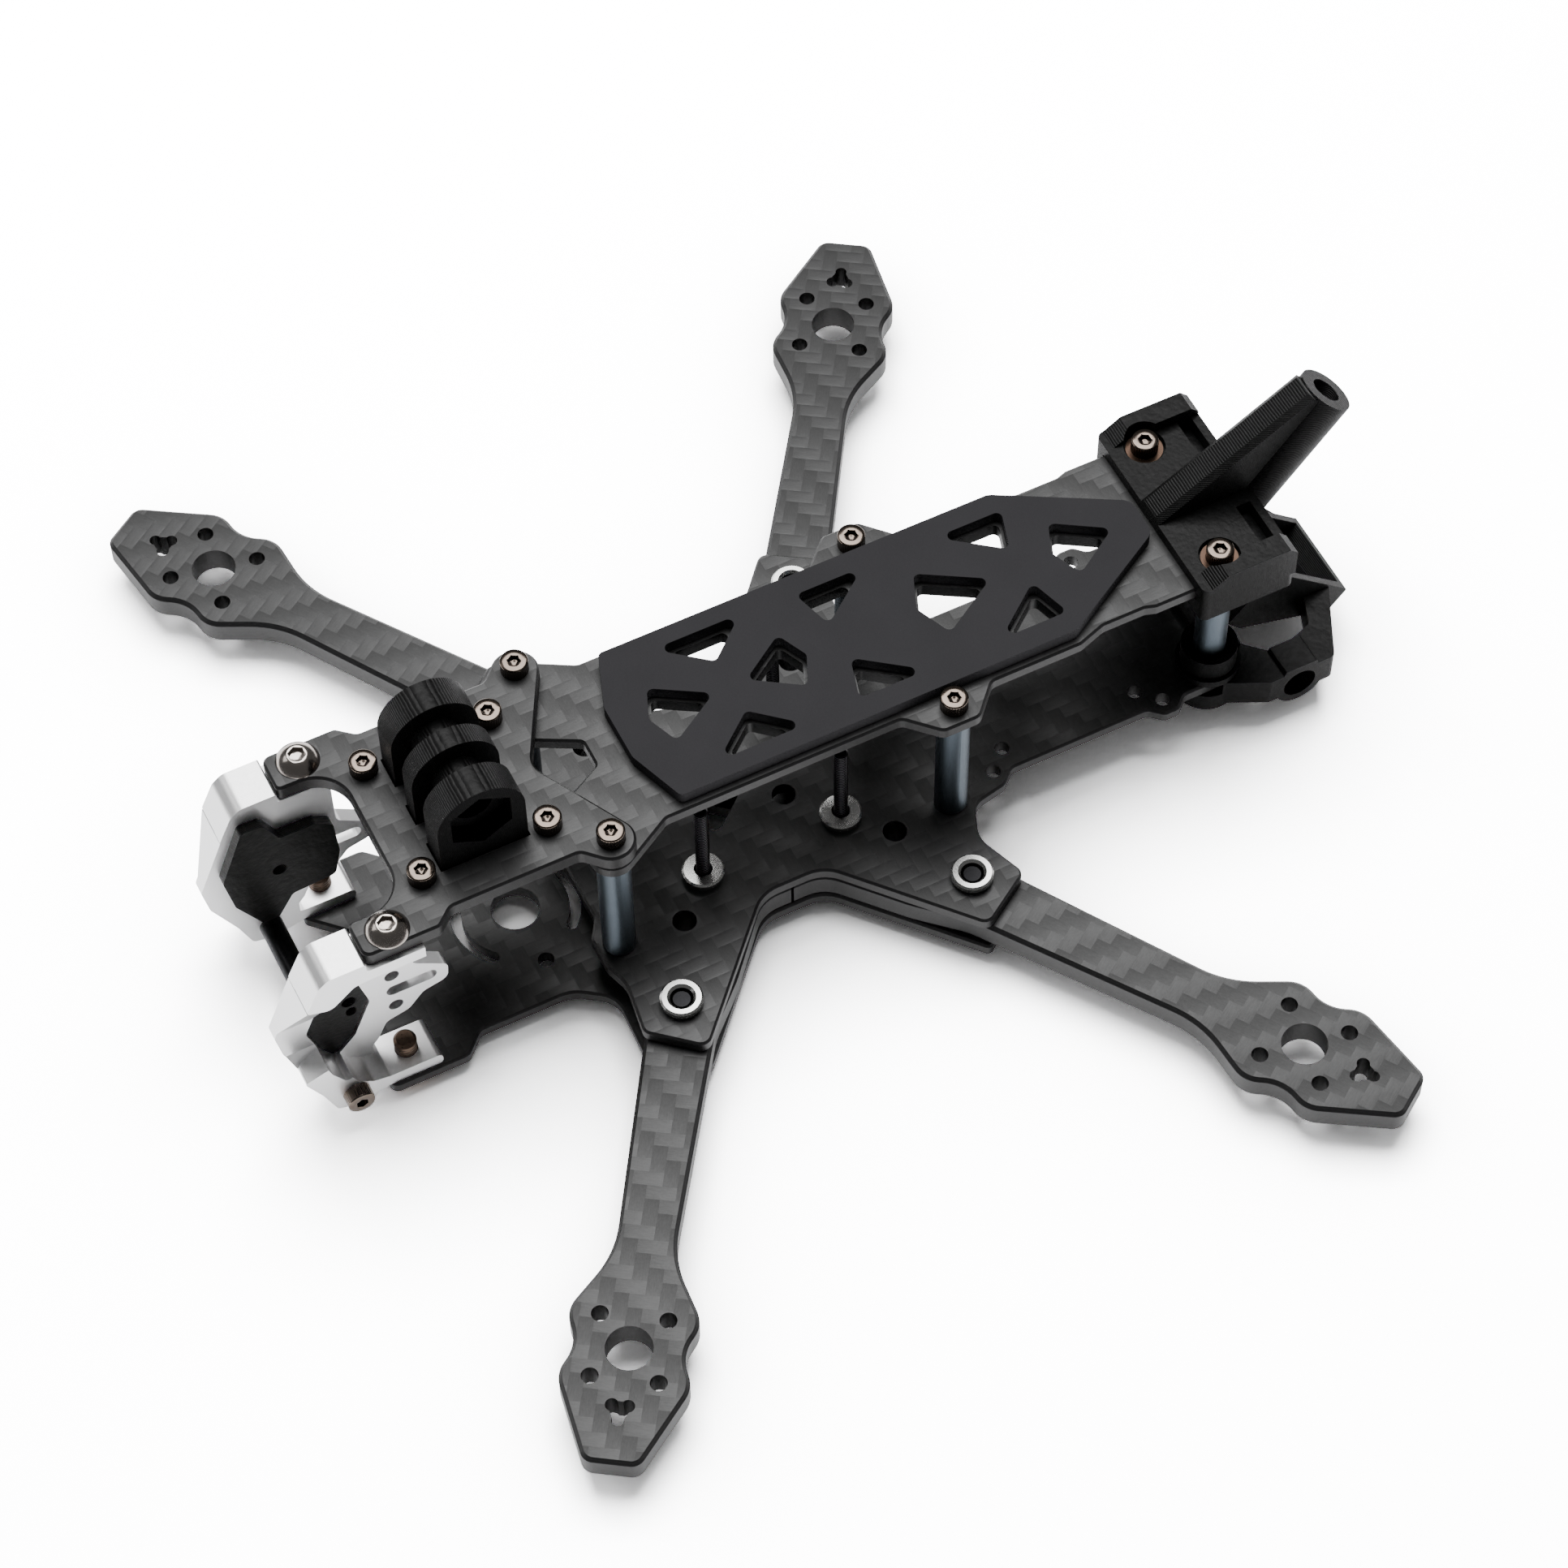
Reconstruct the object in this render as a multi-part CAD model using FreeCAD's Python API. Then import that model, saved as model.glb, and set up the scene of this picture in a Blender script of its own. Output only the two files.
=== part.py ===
import FreeCAD, Part
import math
import os

os.makedirs("parts", exist_ok=True)

# A small carbon-fibre freestyle quadcopter frame, in millimetres.
# Origin: centre of the flight-controller holes, on the upper face of the mid plate.
# The nose points to -Y, up is +Z, and +X is the left-hand side.

# ---------------------------------------------------------------- sizes

# plates and their spacing
bottom_plate_thickness = 2.0
arm_thickness = 4.0
mid_plate_thickness = 2.0
standoff_length = 20.0
top_plate_thickness = 2.0
front_plate_thickness = 2.5
pad_thickness = 1.9
plate_edge_chamfer = 0.3
arm_edge_chamfer = 0.5

# motors and arms
motor_x = 66.27
motor_y = 47.475
motor_pattern_diameter = 12.0
motor_screw_hole_radius = 1.1
motor_shaft_hole_radius = 3.0
motor_boss_radius = 3.8
arm_root_half_width = 4.45
arm_neck_half_width = 3.68
arm_gap = 0.4

# fasteners: metric sizes
m2_hole_radius = 1.1
m2_shank_radius = 1.0
m2_head_radius = 1.83
m2_head_height = 2.0
m2_hex = 1.5
m3_hole_radius = 1.6
m3_shank_radius = 1.5
m3_head_radius = 2.85
m3_head_height = 1.65
m3_hex = 2.0
thread_clearance = 0.03
stack_stud_radius = 0.84
stack_stud_height = 15.0
round_nut_radius = 2.8
round_nut_height = 1.5
round_nut_foot_radius = 2.4
round_nut_foot_height = 0.4

# hole patterns
stack_small_half = 10.0
stack_large_half = 15.25
arm_bolt_x = 26.15
arm_bolt_y = 20.9
transmitter_centre_y = 43.9
transmitter_small_spacing = 20.0
transmitter_large_spacing = 25.5
transmitter_hole_radius = 1.0

# standoffs
standoff_radius = 2.2
side_standoff_x = 14.4
front_standoff_y = -24.15
mid_standoff_y = 23.9
rear_standoff_x = 10.0
rear_standoff_y = 65.0
standoff_ear_radius = 3.0

# top plate and battery pad
top_plate_half_width = 13.2
top_plate_rear_half_width = 12.4
top_plate_end_y = 71.0
pad_half_width = 12.2
pad_inset = 0.4

# front plate and action-camera mount
prong_inner_x = 11.0
prong_outer_x = 16.45
prong_front_y = -58.4
front_plate_half_width = 14.45
knuckle_middle_half = 1.45
knuckle_side_inner = 4.9
knuckle_side_outer = 9.2
knuckle_front_y = -44.8
knuckle_rear_y = -33.0
knuckle_axis_height = 7.2
knuckle_top_radius = 5.9
knuckle_bore_radius = 2.55
knuckle_nut_across_flats = 8.0
knuckle_nut_recess = 2.6
knuckle_slot_clearance = 0.2
camera_mount_flange_thickness = 2.0
camera_mount_screw_x = 9.0
camera_mount_rear_screw_y = -30.3
camera_mount_front_screw_y = -47.4

# camera cage
cage_inner_x = 11.0
cage_web_thickness = 2.0
cage_outer_x = 17.0
cage_screw_x = 14.0
cage_screw_y = -54.3
cross_bar_y = -62.5
cross_bar_height = 1.9
cross_bar_radius = 1.6
cage_drawn_deck = 22.0
cage_drawn_floor = -6.0
insert_flange_thickness = 1.5
insert_clearance = 0.05

# rear mounts
antenna_mount_half_width = 14.6
antenna_mount_front_y = 60.2
antenna_mount_rear_y = 74.0
antenna_mount_pad_height = 1.8
antenna_mount_rail_height = 3.5
antenna_tube_radius = 3.8
antenna_bore_radius = 2.0
antenna_base_y = 75.5
antenna_end_y = 85.6
antenna_rise = 13.0
washer_radius = 2.5
washer_thickness = 0.5
tray_half_width = 6.7
tray_wall = 1.1
side_boss_outer_x = 17.0
side_boss_y = 75.5
side_boss_drop = 0.9
side_boss_radius = 3.6
side_bore_radius = 2.4
soft_fit = 0.1

# ------------------------------------------------------- derived levels

mid_z = -mid_plate_thickness
arm_z = mid_z - arm_thickness
bottom_z = arm_z - bottom_plate_thickness
top_z = standoff_length
deck_z = top_z + top_plate_thickness
front_deck_z = deck_z + front_plate_thickness
knuckle_axis_z = front_deck_z + knuckle_axis_height
knuckle_axis_y = (knuckle_front_y + knuckle_rear_y) / 2
cross_bar_z = arm_z + cross_bar_height
antenna_end_z = deck_z + antenna_rise
side_boss_z = mid_z - side_boss_drop
motor_screw_offset = motor_pattern_diameter / 2 / math.sqrt(2)
arm_angle = math.atan2(motor_y - stack_small_half, motor_x - stack_small_half)
stack_corners = [(sx, sy) for sx in (1, -1) for sy in (1, -1)]
side_names = [("left", 1), ("right", -1)]

# -------------------------------------------------------------- helpers


def rounded_wire(corners, z=0.0):
    """Closed wire in the XY plane; each corner is (x, y, radius of its rounding)."""
    count = len(corners)
    starts = []
    ends = []
    middles = []
    for k in range(count):
        here = FreeCAD.Vector(corners[k][0], corners[k][1], z)
        before = FreeCAD.Vector(corners[k - 1][0], corners[k - 1][1], z) - here
        after = FreeCAD.Vector(corners[(k + 1) % count][0], corners[(k + 1) % count][1], z) - here
        before.normalize()
        after.normalize()
        radius = corners[k][2]
        half = before.getAngle(after) / 2
        if radius == 0 or abs(half - math.pi / 2) < 1e-6:
            starts.append(here)
            ends.append(here)
            middles.append(None)
            continue
        reach = radius / math.tan(half)
        bisector = before + after
        bisector.normalize()
        starts.append(here + before * reach)
        ends.append(here + after * reach)
        middles.append(here + bisector * (radius / math.sin(half) - radius))
    edges = []
    for k in range(count):
        if middles[k] is not None:
            edges.append(Part.Arc(starts[k], middles[k], ends[k]).toShape())
        following = starts[(k + 1) % count]
        if ends[k].distanceToPoint(following) > 1e-6:
            edges.append(Part.LineSegment(ends[k], following).toShape())
    return Part.Wire(Part.__sortEdges__(edges))


def prism(corners, z, height):
    """Upright solid on a rounded outline, its foot at z."""
    face = Part.Face(rounded_wire(corners, z))
    return face.extrude(FreeCAD.Vector(0, 0, height))


def side_prism(corners, x_from, x_to):
    """Solid on an outline of (y, z, radius), running along X."""
    solid = prism(corners, 0, x_to - x_from)
    # local x, y, z become row Y, Z, X
    turn = FreeCAD.Rotation(FreeCAD.Vector(1, 1, 1), 120)
    solid.Placement = FreeCAD.Placement(FreeCAD.Vector(x_from, 0, 0), turn)
    return solid


def sharp(points):
    return [(x, y, 0) for x, y in points]


def mirrored(half):
    """Whole outline from its +X half, listed from the nose end to the tail end."""
    return half + [(-x, y, r) for x, y, r in reversed(half) if x != 0]


def around(x, y, radius, start, end):
    """Corners whose roundings follow an arc about (x, y) between two outward angles."""
    pieces = math.ceil(abs(end - start) / 60)
    half = math.radians(end - start) / pieces / 2
    corners = []
    for k in range(pieces):
        middle = math.radians(start) + half * (2 * k + 1)
        reach = radius / math.cos(half)
        corners.append((x + reach * math.cos(middle), y + reach * math.sin(middle), radius))
    return corners


def tangent_y(x, y, radius, angle, at_x):
    """Where the tangent at one outward angle of a circle about (x, y) crosses x = at_x."""
    c = math.cos(math.radians(angle))
    s = math.sin(math.radians(angle))
    return y + (radius + (x - at_x) * c) / s


def inset(points, distance):
    """Polygon with every side moved inwards; the points run clockwise or anticlockwise."""
    count = len(points)
    area = sum(points[k - 1][0] * points[k][1] - points[k][0] * points[k - 1][1] for k in range(count))
    sign = 1 if area > 0 else -1
    moved = []
    for k in range(count):
        ax, ay = points[k - 1]
        bx, by = points[k]
        cx, cy = points[(k + 1) % count]
        first = math.atan2(by - ay, bx - ax) + sign * math.pi / 2
        second = math.atan2(cy - by, cx - bx) + sign * math.pi / 2
        middle = math.atan2(math.sin(first) + math.sin(second), math.cos(first) + math.cos(second))
        reach = distance / math.cos(first - middle)
        moved.append((bx + reach * math.cos(middle), by + reach * math.sin(middle)))
    return moved


def cylinder(x, y, z, radius, height, axis=(0, 0, 1)):
    return Part.makeCylinder(radius, height, FreeCAD.Vector(x, y, z), FreeCAD.Vector(*axis))


def block(x_from, x_to, y_from, y_to, z_from, z_to):
    corner = FreeCAD.Vector(x_from, y_from, z_from)
    return Part.makeBox(x_to - x_from, y_to - y_from, z_to - z_from, corner)


def both_sides(x, y):
    return [(x, y), (-x, y)]


def fuse(shapes):
    return shapes[0].multiFuse(shapes[1:]).removeSplitter()


def drill(solid, places, radius, z, height):
    return solid.cut(Part.makeCompound([cylinder(x, y, z, radius, height) for x, y in places]))


def chamfer_faces(solid, size, levels):
    """Bevel every edge that lies in one of the horizontal faces at the given levels."""
    edges = []
    for edge in solid.Edges:
        box = edge.BoundBox
        for level in levels:
            if abs(box.ZMin - level) < 1e-6 and abs(box.ZMax - level) < 1e-6:
                edges.append(edge)
    return solid.makeChamfer(size, edges)


def bevelled_plate(corners, z, thickness, size):
    solid = prism(corners, z, thickness)
    return chamfer_faces(solid, size, [z, z + thickness])


def mirror_x(solid):
    return solid.mirror(FreeCAD.Vector(0, 0, 0), FreeCAD.Vector(1, 0, 0))


def mirror_y(solid):
    return solid.mirror(FreeCAD.Vector(0, 0, 0), FreeCAD.Vector(0, 1, 0))


def hexagon(across_flats, z, height):
    corners = []
    for k in range(6):
        angle = math.radians(60 * k)
        reach = across_flats / math.sqrt(3)
        corners.append((reach * math.cos(angle), reach * math.sin(angle), 0))
    return prism(corners, z, height)


def socket_screw(length):
    """M2 socket-head screw standing on its head's underside at z = 0, shank downwards."""
    head = cylinder(0, 0, 0, m2_head_radius, m2_head_height)
    head = chamfer_faces(head, 0.2, [m2_head_height])
    shank = cylinder(0, 0, -length, m2_shank_radius, length)
    shank = chamfer_faces(shank, 0.2, [-length])
    socket = hexagon(m2_hex, m2_head_height - 1.0, 1.1)
    return fuse([head, shank]).cut(socket)


def button_screw(length):
    """M3 button-head screw: a low dome above z = 0 and its shank below."""
    rise = m3_head_height
    half = m3_head_radius
    dome_radius = (half * half + rise * rise) / 2 / rise * 1.12
    dome_centre = rise - dome_radius
    dome = Part.makeSphere(dome_radius, FreeCAD.Vector(0, 0, dome_centre))
    head = dome.common(cylinder(0, 0, 0, half, rise + 1))
    shank = cylinder(0, 0, -length, m3_shank_radius, length)
    shank = chamfer_faces(shank, 0.3, [-length])
    socket = hexagon(m3_hex, rise - 1.0, 1.1)
    return fuse([head, shank]).cut(socket)


def placed(solid, x, y, z, axis=(0, 0, 1)):
    """Copy of a solid with its own +Z turned to the given axis."""
    turn = FreeCAD.Rotation(FreeCAD.Vector(0, 0, 1), FreeCAD.Vector(*axis))
    copy = solid.copy()
    copy.Placement = FreeCAD.Placement(FreeCAD.Vector(x, y, z), turn)
    return copy


def group(solid, places, z, axis=(0, 0, 1)):
    return Part.makeCompound([placed(solid, x, y, z, axis) for x, y in places])


def save(name, shape):
    shape.exportStep("parts/" + name + ".step")


# ---------------------------------------------------------- hole places

down = (0, 0, -1)
stack_places = [(stack_small_half * sx, stack_small_half * sy) for sx, sy in stack_corners]
stack_large_places = [(stack_large_half * sx, stack_large_half * sy) for sx, sy in stack_corners]
arm_bolt_places = [(arm_bolt_x * sx, arm_bolt_y * sy) for sx, sy in stack_corners]
front_standoffs = both_sides(side_standoff_x, front_standoff_y)
mid_standoffs = both_sides(side_standoff_x, mid_standoff_y)
rear_standoffs = both_sides(rear_standoff_x, rear_standoff_y)
all_standoffs = front_standoffs + mid_standoffs + rear_standoffs
camera_mount_places = both_sides(camera_mount_screw_x, camera_mount_rear_screw_y)
camera_mount_places += both_sides(camera_mount_screw_x, camera_mount_front_screw_y)
cage_screw_places = both_sides(cage_screw_x, cage_screw_y)
transmitter_places = []
for spacing in (transmitter_small_spacing, transmitter_large_spacing):
    for sx, sy in stack_corners:
        transmitter_places.append((spacing / 2 * sx, transmitter_centre_y + spacing / 2 * sy))

# the triangular cable hole that runs down through the middle of the plates
centre_hole = [(0, 0.6, 1.0), (-5.9, -6.4, 1.2), (5.9, -6.4, 1.2)]

# ----------------------------------------------------------------- arms


def arm_point(along, across):
    """Point on the rear left arm; along runs outwards from the motor's axis."""
    c = math.cos(arm_angle)
    s = math.sin(arm_angle)
    return (motor_x + along * c - across * s, motor_y + along * s + across * c)


def boss_vertex(along, start, end):
    """Corner whose rounding runs round the boss of one motor screw hole."""
    return around(along, motor_screw_offset, motor_boss_radius, start, end)[0]


# one long side of the arm, from its neck to the tip: (along, across, radius)
arm_side = [
    (-12.9, arm_neck_half_width, 14.0),
    boss_vertex(-motor_screw_offset, 119.5, 65.0),
    (0.0, 6.46, 5.2),
    boss_vertex(motor_screw_offset, 115.0, 66.0),
    (15.4, 3.43, 1.8),
]


def arm_outline():
    """Anticlockwise outline of the rear left arm, starting at its root by the nose-tail line."""
    corners = [
        (4.2, arm_gap / 2, 1.0),
        (15.8, arm_gap / 2, 0),
        (15.8, 4.45, 5.2),
        (25.0, 12.5, 20.0),
    ]
    corners.append(arm_point(-46.0, -arm_root_half_width) + (12.0,))
    for along, across, radius in arm_side:
        corners.append(arm_point(along, -across) + (radius,))
    for along, across, radius in reversed(arm_side):
        corners.append(arm_point(along, across) + (radius,))
    corners.append(arm_point(-46.0, arm_root_half_width) + (12.0,))
    corners.append(arm_point(-66.0, arm_root_half_width + 0.5) + (3.0,))
    corners.append((4.2, 12.0, 2.0))
    return corners


def rear_left_arm():
    arm = bevelled_plate(arm_outline(), arm_z, arm_thickness, arm_edge_chamfer)
    depth = arm_thickness + 2
    foot = arm_z - 1
    shaft_hole = cylinder(motor_x, motor_y, foot, motor_shaft_hole_radius, depth)
    screws = []
    for sx, sy in stack_corners:
        place = arm_point(motor_screw_offset * sx, motor_screw_offset * sy)
        screws.append(cylinder(*place, foot, motor_screw_hole_radius, depth))
    # three-lobed slot for a cable tie, its lobes joined by a blunt triangle
    lobes = []
    for along, across, radius in [(7.75, 1.0, 0.85), (7.75, -1.0, 0.85), (9.7, 0.0, 0.78)]:
        lobes.append(cylinder(*arm_point(along, across), foot, radius, depth))
    triangle = [(7.2, -1.0), (8.0, -1.49), (9.95, -0.49), (9.95, 0.49), (8.0, 1.49), (7.2, 1.0)]
    lobes.append(prism(sharp([arm_point(along, across) for along, across in triangle]), foot, depth))
    arm = arm.cut(Part.makeCompound([shaft_hole] + screws)).cut(fuse(lobes))
    arm = drill(arm, [(stack_small_half, stack_small_half)], m2_hole_radius, foot, depth)
    arm = drill(arm, [(stack_large_half, stack_large_half), (arm_bolt_x, arm_bolt_y)], m3_hole_radius, foot, depth)
    return arm


rear_arm = rear_left_arm()
front_arm = mirror_y(rear_arm)
save("arm_rear_left", rear_arm)
save("arm_rear_right", mirror_x(rear_arm))
save("arm_front_left", front_arm)
save("arm_front_right", mirror_x(front_arm))

# --------------------------------------------------------- bottom plate

bottom_half = [
    (3.5, -50.4, 2.0),
    (11.0, -57.9, 0.8),
    (17.5, -57.9, 1.2),
    (17.5, -47.1, 1.5),
    (14.8, -44.4, 1.5),
    (14.8, -31.5, 5.0),
    (18.3, -26.6, 4.0),
    (27.8, -27.1, 1.5),
    (33.5, -20.5, 1.5),
    (16.0, -4.45, 5.2),
    (16.0, 4.45, 5.2),
    (33.6, 19.9, 0.8),
    (28.6, 26.6, 1.5),
    (21.5, 23.4, 4.0),
    (6.0, 20.5, 3.0),
]
bottom_plate = bevelled_plate(mirrored(bottom_half), bottom_z, bottom_plate_thickness, plate_edge_chamfer)
foot = bottom_z - 1
depth = bottom_plate_thickness + 2
lens_hole_y = -32.7
cable_slot_radius = 7.9
cable_slot_half_width = 0.75
bottom_plate = drill(bottom_plate, [(0, lens_hole_y)], 3.25, foot, depth)
ring = cylinder(0, lens_hole_y, foot, cable_slot_radius + cable_slot_half_width, depth)
ring = ring.cut(cylinder(0, lens_hole_y, foot, cable_slot_radius - cable_slot_half_width, depth))
wedges = []
for sign in (1, -1):
    reach = 12 * sign
    wedge = sharp([(0, lens_hole_y), (reach, lens_hole_y + reach), (-reach, lens_hole_y + reach)])
    wedges.append(prism(wedge, foot, depth))
    for side in (1, -1):
        end = cable_slot_radius * math.sqrt(0.5)
        bottom_plate = drill(bottom_plate, [(end * side, lens_hole_y + end * sign)], cable_slot_half_width, foot, depth)
bottom_plate = bottom_plate.cut(ring.common(Part.makeCompound(wedges)))
bottom_plate = drill(bottom_plate, both_sides(9.0, -32.4) + stack_places, m2_hole_radius, foot, depth)
bottom_plate = drill(bottom_plate, stack_large_places + arm_bolt_places, m3_hole_radius, foot, depth)
bottom_plate = drill(bottom_plate, cage_screw_places, m3_hole_radius, foot, depth)
bottom_plate = bottom_plate.cut(prism(centre_hole, foot, depth))
save("bottom_plate", bottom_plate)

# ------------------------------------------------------------ mid plate

mid_rear_ear_radius = 3.4
mid_half = [(9.6, front_standoff_y - 1.3, 1.5), (12.2, front_standoff_y - standoff_ear_radius, 1.5)]
mid_half += [
    (17.0, front_standoff_y - standoff_ear_radius, 2.0),
    (20.4, -26.0, 5.0),
    (27.9, -27.1, 1.5),
    (33.5, -20.7, 1.5),
    (16.0, -4.45, 5.2),
    (16.0, 4.45, 5.2),
    (33.4, 19.6, 1.5),
    (28.4, 27.4, 1.5),
    (21.0, 24.6, 4.0),
    (16.2, 26.6, 2.5),
    (15.2, 31.6, 1.5),
    (13.3, 33.6, 1.5),
    (13.3, 54.0, 1.5),
    (15.0, 55.8, 1.2),
    (15.0, 58.0, 1.2),
    (13.4, 59.6, 1.5),
]
mid_half += around(rear_standoff_x, rear_standoff_y, mid_rear_ear_radius, 0, 90)
mid_plate = bevelled_plate(mirrored(mid_half), mid_z, mid_plate_thickness, plate_edge_chamfer)
foot = mid_z - 1
depth = mid_plate_thickness + 2
mid_plate = drill(mid_plate, stack_places + all_standoffs, m2_hole_radius, foot, depth)
mid_plate = drill(mid_plate, transmitter_places, transmitter_hole_radius, foot, depth)
mid_plate = drill(mid_plate, stack_large_places + arm_bolt_places, m3_hole_radius, foot, depth)
mid_plate = drill(mid_plate, both_sides(3.5, 4.9), m3_hole_radius, foot, depth)
mid_plate = mid_plate.cut(prism(centre_hole, foot, depth))
save("mid_plate", mid_plate)

# -------------------------------------------- top plate and battery pad

# triangular cut-outs of the battery deck, +X half: corners (x, y)
deck_triangles = [
    [(9.6, -7.0), (9.6, 5.4), (4.3, -0.6)],
    [(9.1, 13.1), (9.1, 22.9), (3.0, 14.9)],
    [(9.1, 33.4), (9.1, 43.1), (3.0, 41.2)],
]
deck_kites = [
    [(4.5, -10.3), (0, -3.0), (-4.5, -10.3), (0, -12.1)],
    [(4.4, 8.2), (0, 10.2), (-4.4, 8.2), (0, 1.6)],
    [(5.2, 28.2), (0, 36.7), (-5.2, 28.2), (0, 26.0)],
    [(4.5, 47.6), (0, 54.6), (-4.5, 47.6), (0, 45.7)],
]


def deck_cutters(shrink, z, height):
    outlines = deck_kites + deck_triangles + [[(-x, y) for x, y in points] for points in deck_triangles]
    cutters = []
    for points in outlines:
        cutters.append(prism([(x, y, 0.8) for x, y in inset(points, shrink)], z, height))
    return Part.makeCompound(cutters)


top_half = [(2.0, -20.5, 0.8), (5.6, front_standoff_y - standoff_ear_radius, 0.8)]
top_half += around(side_standoff_x, front_standoff_y, standoff_ear_radius, -90, 30)
top_slope_y = tangent_y(side_standoff_x, front_standoff_y, standoff_ear_radius, 30, top_plate_half_width)
top_half += [
    (top_plate_half_width, top_slope_y, 1.5),
    (top_plate_half_width, 17.0, 1.5),
    (17.3, 21.0, 1.5),
    (17.3, 26.2, 1.5),
    (top_plate_half_width, 30.0, 1.5),
    (top_plate_half_width, 43.0, 2.0),
    (11.9, 46.9, 2.0),
    (11.9, 53.0, 1.0),
    (top_plate_rear_half_width, 54.5, 1.0),
    (top_plate_rear_half_width, top_plate_end_y, 1.5),
]
top_plate = bevelled_plate(mirrored(top_half), top_z, top_plate_thickness, plate_edge_chamfer)
top_plate = drill(top_plate, all_standoffs, m2_hole_radius, top_z - 1, top_plate_thickness + 2)
top_plate = top_plate.cut(deck_cutters(pad_inset, top_z - 1, top_plate_thickness + 2))
save("top_plate", top_plate)

pad_half = [
    (4.2, -16.4, 2.0),
    (pad_half_width, -13.5, 0.8),
    (pad_half_width, 42.8, 2.0),
    (2.9, 59.0, 2.0),
]
pad = prism(mirrored(pad_half), deck_z, pad_thickness)
pad = pad.cut(deck_cutters(0, deck_z - 1, pad_thickness + 2))
save("battery_pad", pad)

# ---------------------------------------------------------- front plate

front_ear_radius = standoff_ear_radius + 0.1
front_ear_start_y = tangent_y(side_standoff_x, front_standoff_y, front_ear_radius, -45, front_plate_half_width)
front_half = [(prong_inner_x, -50.5, 5.0), (prong_inner_x, prong_front_y, 0.8)]
front_half += [
    (prong_outer_x, prong_front_y, 1.2),
    (prong_outer_x, -48.3, 1.0),
    (front_plate_half_width, -46.0, 1.5),
    (front_plate_half_width, front_ear_start_y, 1.5),
]
front_half += around(side_standoff_x, front_standoff_y, front_ear_radius, -45, 118.5)
front_half += [(0, tangent_y(side_standoff_x, front_standoff_y, front_ear_radius, 118.5, 0), 3.0)]
front_plate = bevelled_plate(mirrored(front_half), deck_z, front_plate_thickness, plate_edge_chamfer)
foot = deck_z - 1
depth = front_plate_thickness + 2
front_plate = drill(front_plate, front_standoffs + camera_mount_places, m2_hole_radius, foot, depth)
front_plate = drill(front_plate, cage_screw_places, m3_hole_radius, foot, depth)
knuckles = [
    (knuckle_side_inner, knuckle_side_outer),
    (-knuckle_middle_half, knuckle_middle_half),
    (-knuckle_side_outer, -knuckle_side_inner),
]
gap = knuckle_slot_clearance
for x_from, x_to in knuckles:
    slot = block(x_from - gap, x_to + gap, knuckle_front_y - gap, knuckle_rear_y + gap, foot, foot + depth)
    front_plate = front_plate.cut(slot)
save("front_top_plate", front_plate)

# -------------------------------------------------- action-camera mount

flange_z = deck_z - camera_mount_flange_thickness
flange = prism(mirrored([(11.4, -49.9, 2.5), (11.4, -27.8, 2.5)]), flange_z, camera_mount_flange_thickness)
arch = [
    (knuckle_front_y, flange_z, 0),
    (knuckle_rear_y, flange_z, 0),
    (knuckle_rear_y, knuckle_axis_z + knuckle_top_radius, knuckle_top_radius - 0.01),
    (knuckle_front_y, knuckle_axis_z + knuckle_top_radius, knuckle_top_radius - 0.01),
]
pieces = [flange]
for x_from, x_to in knuckles:
    pieces.append(side_prism(arch, x_from, x_to))
sleeve_start = -knuckle_side_inner - 0.5
sleeve = cylinder(sleeve_start, knuckle_axis_y, knuckle_axis_z, 3.2, -2 * sleeve_start, (1, 0, 0))
camera_mount = fuse(pieces + [sleeve])
bore = cylinder(-20, knuckle_axis_y, knuckle_axis_z, knuckle_bore_radius, 40, (1, 0, 0))
nut_pocket = hexagon(knuckle_nut_across_flats, 0, 5)
nut_pocket.Placement = FreeCAD.Placement(
    FreeCAD.Vector(knuckle_side_outer - knuckle_nut_recess, knuckle_axis_y, knuckle_axis_z),
    FreeCAD.Rotation(FreeCAD.Vector(0, 1, 0), 90),
)
camera_mount = camera_mount.cut(bore).cut(nut_pocket)
camera_mount = drill(camera_mount, camera_mount_places, m2_hole_radius, flange_z - 1, 4)
save("action_camera_mount", camera_mount)

# ----------------------------------------------------------- cage plates


def fitted(outline):
    """Cage outline in the YZ plane, (y, z, rounding), stretched from its drawn levels to the plates'."""
    stretch_up = deck_z / cage_drawn_deck
    stretch_down = arm_z / cage_drawn_floor
    return [(y, z * (stretch_up if z > 0 else stretch_down), r) for y, z, r in outline]


cage_step_y = prong_front_y - 0.15
cage_web = fitted([
    (cage_step_y, 23.6, 0.3), (-63.6, 23.6, 1.8), (-65.0, 22.4, 1.8), (-67.0, 17.6, 1.0),
    (-70.6, 8.9, 1.5), (-69.9, 4.5, 2.0), (-66.8, -2.0, 2.0), (-65.2, -6.0, 1.0),
    (-62.5, -7.3, 1.5), (-58.3, -6.0, 0), (-58.3, -2.0, 0), (-57.4, -0.9, 1.0),
    (-56.0, 2.2, 1.2), (-52.75, 3.1, 1.5), (-50.6, 5.7, 1.5), (-47.1, 6.6, 1.5),
    (-46.9, 9.6, 1.5), (-51.5, 13.0, 1.5), (-51.5, 20.0, 0), (-50.75, 20.0, 0),
    (-50.75, cage_drawn_deck, 0), (cage_step_y, cage_drawn_deck, 0),
])
cage_head = fitted([
    (cage_step_y, 23.6, 0.3), (-63.6, 23.6, 1.8), (-65.0, 22.4, 1.8), (-67.0, 18.0, 0.5),
    (-63.8, 16.8, 1.5), (-60.4, 19.8, 1.5), (-58.4, 20.0, 0), (-50.75, 20.0, 0),
    (-50.75, cage_drawn_deck, 0), (cage_step_y, cage_drawn_deck, 0),
])
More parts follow.
